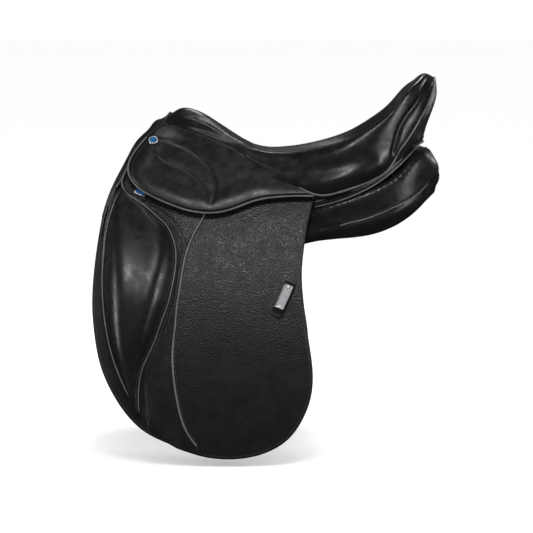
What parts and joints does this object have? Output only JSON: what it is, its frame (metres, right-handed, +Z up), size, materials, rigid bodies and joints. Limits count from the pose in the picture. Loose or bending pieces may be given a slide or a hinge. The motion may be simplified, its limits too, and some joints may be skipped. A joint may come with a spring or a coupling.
{
  "type": "english saddle",
  "caption": "Black English dressage saddle with long straight-cut flaps, external knee blocks, deep seat, wool panels, recessed stirrup bars and girth billets.",
  "frame": {"origin": "on the plane of symmetry, about mid length, at the level where the rear panels rest on the back", "axes": "+X back to the cantle, -Y to the near (left) side, +Z up"},
  "size_m": [0.5296, 0.4698, 0.5722],
  "materials": {
    "tree_wood": "lacquered laminated beech",
    "forged_steel": "satin forged steel",
    "rivet_steel": "plain steel",
    "webbing": "flat woven polyester web",
    "foam": "open cell foam",
    "wool": "carded wool flock",
    "seat_leather": "smooth black calf",
    "skirt_leather": "smooth black calf",
    "cantle_leather": "smooth black calf",
    "facing_leather": "black bridle leather, waxed edges",
    "grain_leather": "black pebbled double leather",
    "block_leather": "black fine grained leather",
    "sweat_leather": "black strap butt, matt",
    "panel_leather": "soft black calf, semi gloss",
    "billet_leather": "black bridle butt",
    "strap_leather": "black strap",
    "keeper_metal": "brushed nickel plate",
    "bright_metal": "polished nickel plate",
    "blue_enamel": "gloss hard enamel"
  },
  "bodies": {
    "root": {"cantle_cover": "cantle_leather", "front_facing": "facing_leather", "front_girth_web": "webbing", "gullet_plate": "forged_steel", "head_rivets": "rivet_steel", "near_bar_rivets": "rivet_steel", "near_catch_pin": "rivet_steel", "near_dee_enamel": "blue_enamel", "near_dee_plate": "bright_metal", "near_flap_head": "grain_leather", "near_flocking": "wool", "near_panel": "panel_leather", "near_pommel_stud": "bright_metal", "near_skirt_head": "skirt_leather", "near_stirrup_bar": "forged_steel", "near_stud_disc": "blue_enamel", "near_sweat_flap": "sweat_leather", "off_bar_rivets": "rivet_steel", "off_catch_pin": "rivet_steel", "off_dee_enamel": "blue_enamel", "off_dee_plate": "bright_metal", "off_flap_head": "grain_leather", "off_flocking": "wool", "off_panel": "panel_leather", "off_pommel_stud": "bright_metal", "off_skirt_head": "skirt_leather", "off_stirrup_bar": "forged_steel", "off_stud_disc": "blue_enamel", "off_sweat_flap": "sweat_leather", "rear_facing": "facing_leather", "rear_girth_web": "webbing", "seat_cover": "seat_leather", "seat_foam": "foam", "seat_web": "webbing", "tree": "tree_wood"},
    "near_flap": {"near_flap": "grain_leather", "near_knee_block_cover": "block_leather", "near_knee_block_foam": "foam", "near_keeper_strap": "strap_leather", "near_keeper_plate": "keeper_metal", "near_keeper_pins": "keeper_metal"},
    "near_skirt": {"near_skirt": "skirt_leather"},
    "near_catch": {"near_catch": "forged_steel"},
    "near_front_billet": {"near_front_billet": "billet_leather"},
    "near_rear_billet": {"near_rear_billet": "billet_leather"},
    "off_flap": {"off_flap": "grain_leather", "off_knee_block_cover": "block_leather", "off_knee_block_foam": "foam", "off_keeper_strap": "strap_leather", "off_keeper_plate": "keeper_metal", "off_keeper_pins": "keeper_metal"},
    "off_skirt": {"off_skirt": "skirt_leather"},
    "off_catch": {"off_catch": "forged_steel"},
    "off_front_billet": {"off_front_billet": "billet_leather"},
    "off_rear_billet": {"off_rear_billet": "billet_leather"}
  },
  "joints": [
    {"name": "near_flap_lift", "type": "hinge", "parent": "root", "child": "near_flap", "pos_m": [-0.07725, -0.14567, 0.01551], "axis": [-0.9247, 0.1776, 0.3366], "range_deg": [0, 75]},
    {"name": "near_skirt_lift", "type": "hinge", "parent": "root", "child": "near_skirt", "pos_m": [-0.091, -0.11215, 0.09863], "axis": [-0.9568, 0.1682, 0.2372], "range_deg": [0, 80]},
    {"name": "near_catch_turn", "type": "hinge", "parent": "root", "child": "near_catch", "pos_m": [-0.11, -0.09345, 0.08851], "axis": [0, -0.8134, 0.5817], "range_deg": [0, 75]},
    {"name": "near_front_billet_swing", "type": "hinge", "parent": "root", "child": "near_front_billet", "pos_m": [-0.058, -0.11417, 0.054], "axis": [0, 1, 0], "range_deg": [-4, 4]},
    {"name": "near_rear_billet_swing", "type": "hinge", "parent": "root", "child": "near_rear_billet", "pos_m": [0, -0.10766, 0.054], "axis": [0, 1, 0], "range_deg": [-4, 4]},
    {"name": "off_flap_lift", "type": "hinge", "parent": "root", "child": "off_flap", "pos_m": [-0.07725, 0.14567, 0.01551], "axis": [0.9247, 0.1776, -0.3366], "range_deg": [0, 75]},
    {"name": "off_skirt_lift", "type": "hinge", "parent": "root", "child": "off_skirt", "pos_m": [-0.091, 0.11215, 0.09863], "axis": [0.9568, 0.1682, -0.2372], "range_deg": [0, 80]},
    {"name": "off_catch_turn", "type": "hinge", "parent": "root", "child": "off_catch", "pos_m": [-0.11, 0.09345, 0.08851], "axis": [0, -0.8134, -0.5817], "range_deg": [0, 75]},
    {"name": "off_front_billet_swing", "type": "hinge", "parent": "root", "child": "off_front_billet", "pos_m": [-0.058, 0.11417, 0.054], "axis": [0, 1, 0], "range_deg": [-4, 4]},
    {"name": "off_rear_billet_swing", "type": "hinge", "parent": "root", "child": "off_rear_billet", "pos_m": [0, 0.10766, 0.054], "axis": [0, 1, 0], "range_deg": [-4, 4]}
  ]
}
